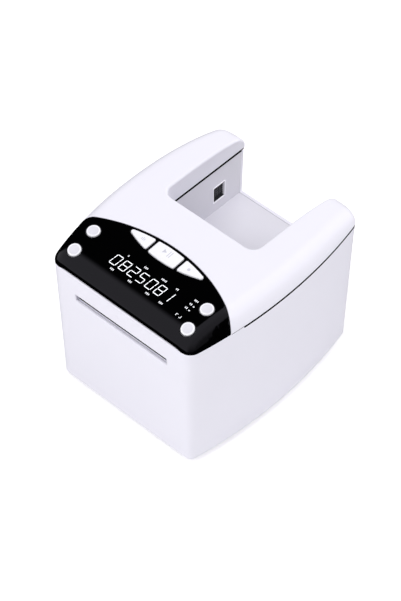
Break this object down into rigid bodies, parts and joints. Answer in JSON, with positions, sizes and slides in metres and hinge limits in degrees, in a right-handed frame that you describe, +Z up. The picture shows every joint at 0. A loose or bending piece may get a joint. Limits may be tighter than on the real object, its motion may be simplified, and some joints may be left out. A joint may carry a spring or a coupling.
{
  "type": "automatic card shuffler",
  "caption": "Battery-driven card shuffler and dealer: open rear hopper, pickup and exit rollers, front exit slot, button panel, body turning on a round base.",
  "frame": {"origin": "on the body's turning axis, at table level", "axes": "+Z up; -Y is the front face with the card exit slot; +X is to the right seen from the front"},
  "size_m": [0.1128, 0.131, 0.1058],
  "materials": {
    "shell_white": "satin",
    "panel_black": "gloss",
    "button_white": "satin",
    "trim_grey": "matte",
    "frame_grey": "matte",
    "rubber_black": "matte",
    "black_plastic": "matte",
    "gear_white": "satin",
    "steel": "brushed",
    "bronze": "satin",
    "board_green": "satin",
    "cell_blue": "satin"
  },
  "bodies": {
    "base": {"foot_ring": "rubber_black", "base_disc": "shell_white", "ring_gear": "gear_white", "ring_gear_screws": "steel", "pivot_screw": "steel"},
    "machine": {"thrust_ring": "gear_white", "bottom_cover": "shell_white", "bottom_screws": "steel", "main_casing": "shell_white", "seam_gasket": "rubber_black", "top_cover": "shell_white", "cover_screws": "steel", "control_panel": "panel_black", "display_module": "black_plastic", "button_board": "board_green", "board_screws": "steel", "tact_switches": "black_plastic", "slot_trim": "trim_grey", "side_plate_left": "frame_grey", "side_plate_right": "frame_grey", "hopper_floor": "frame_grey", "card_ramp": "frame_grey", "stack_stop": "frame_grey", "retard_pad": "rubber_black", "upper_guide": "frame_grey", "sensor_window_left": "black_plastic", "sensor_window_right": "black_plastic", "sensor_boards": "board_green", "frame_bushes": "bronze", "idler_pin": "steel", "feed_motor": "steel", "exit_motor": "steel", "exit_belt": "rubber_black", "turn_motor": "steel", "battery_cells": "cell_blue", "battery_holder": "black_plastic", "main_board": "board_green", "charge_port": "steel", "rocker_housing": "black_plastic", "buzzer": "black_plastic"},
    "turn_drive": {"turn_pinion": "gear_white"},
    "pickup": {"pickup_shaft": "steel", "pickup_rollers": "rubber_black", "pickup_gear": "gear_white"},
    "idler": {"idler_gear": "gear_white"},
    "feed_drive": {"feed_pinion": "gear_white"},
    "exit_roll": {"exit_shaft": "steel", "exit_rollers": "rubber_black", "exit_pulley": "gear_white"},
    "exit_drive": {"motor_pulley": "gear_white"},
    "pinch_roll": {"pinch_shaft": "steel", "pinch_rollers": "rubber_black"},
    "power_rocker": {"power_rocker": "black_plastic"},
    "start_button": {"start_button": "button_white"},
    "left_button": {"left_button": "button_white"},
    "right_button": {"right_button": "button_white"},
    "round_button_front_left": {"round_button_front_left": "button_white"},
    "round_button_front_right": {"round_button_front_right": "button_white"},
    "round_button_rear_left": {"round_button_rear_left": "button_white"},
    "round_button_rear_right": {"round_button_rear_right": "button_white"}
  },
  "joints": [
    {"name": "body_turn", "type": "hinge", "parent": "base", "child": "machine", "pos_m": [0, 0, 0.0039], "axis": [0, 0, 1], "continuous": true},
    {"name": "turn_pinion_spin", "type": "hinge", "parent": "machine", "child": "turn_drive", "pos_m": [-0.03, 0, 0.0045], "axis": [0, 0, 1], "continuous": true},
    {"name": "pickup_spin", "type": "hinge", "parent": "machine", "child": "pickup", "pos_m": [0, -0.0035, 0.0502], "axis": [1, 0, 0], "continuous": true},
    {"name": "idler_spin", "type": "hinge", "parent": "machine", "child": "idler", "pos_m": [0, 0.00649, 0.0367], "axis": [1, 0, 0], "continuous": true},
    {"name": "feed_pinion_spin", "type": "hinge", "parent": "machine", "child": "feed_drive", "pos_m": [0, 0.02449, 0.03], "axis": [1, 0, 0], "continuous": true},
    {"name": "exit_spin", "type": "hinge", "parent": "machine", "child": "exit_roll", "pos_m": [0, -0.0539, 0.06503], "axis": [1, 0, 0], "continuous": true},
    {"name": "exit_pulley_spin", "type": "hinge", "parent": "machine", "child": "exit_drive", "pos_m": [0, -0.0315, 0.0452], "axis": [1, 0, 0], "continuous": true},
    {"name": "pinch_spin", "type": "hinge", "parent": "machine", "child": "pinch_roll", "pos_m": [0, -0.04952, 0.07684], "axis": [1, 0, 0], "continuous": true},
    {"name": "power_rock", "type": "hinge", "parent": "machine", "child": "power_rocker", "pos_m": [-0.014, 0.0607, 0.024], "axis": [0, 0, 1], "range_deg": [0, 12]},
    {"name": "start_button_press", "type": "slide", "parent": "machine", "child": "start_button", "axis": [0, 0.0661, -0.9978], "range_m": [0, 0.0006], "stiffness_N_per_m": 300, "springref_m": -0.0015},
    {"name": "left_button_press", "type": "slide", "parent": "machine", "child": "left_button", "axis": [0, 0.0661, -0.9978], "range_m": [0, 0.0006], "stiffness_N_per_m": 300, "springref_m": -0.0015},
    {"name": "right_button_press", "type": "slide", "parent": "machine", "child": "right_button", "axis": [0, 0.0661, -0.9978], "range_m": [0, 0.0006], "stiffness_N_per_m": 300, "springref_m": -0.0015},
    {"name": "round_button_front_left_press", "type": "slide", "parent": "machine", "child": "round_button_front_left", "axis": [0, 0.3178, -0.9482], "range_m": [0, 0.0006], "stiffness_N_per_m": 300, "springref_m": -0.0015},
    {"name": "round_button_front_right_press", "type": "slide", "parent": "machine", "child": "round_button_front_right", "axis": [0, 0.3178, -0.9482], "range_m": [0, 0.0006], "stiffness_N_per_m": 300, "springref_m": -0.0015},
    {"name": "round_button_rear_left_press", "type": "slide", "parent": "machine", "child": "round_button_rear_left", "axis": [0, 0.1385, -0.9904], "range_m": [0, 0.0006], "stiffness_N_per_m": 300, "springref_m": -0.0015},
    {"name": "round_button_rear_right_press", "type": "slide", "parent": "machine", "child": "round_button_rear_right", "axis": [0, 0.1385, -0.9904], "range_m": [0, 0.0006], "stiffness_N_per_m": 300, "springref_m": -0.0015}
  ],
  "couplings": [
    {"joint": "turn_pinion_spin", "follows": "body_turn", "ratio": -6},
    {"joint": "idler_spin", "follows": "pickup_spin", "ratio": -2.5},
    {"joint": "feed_pinion_spin", "follows": "pickup_spin", "ratio": 7.5},
    {"joint": "exit_pulley_spin", "follows": "exit_spin", "ratio": 1.5},
    {"joint": "pinch_spin", "follows": "exit_spin", "ratio": -1.46}
  ]
}
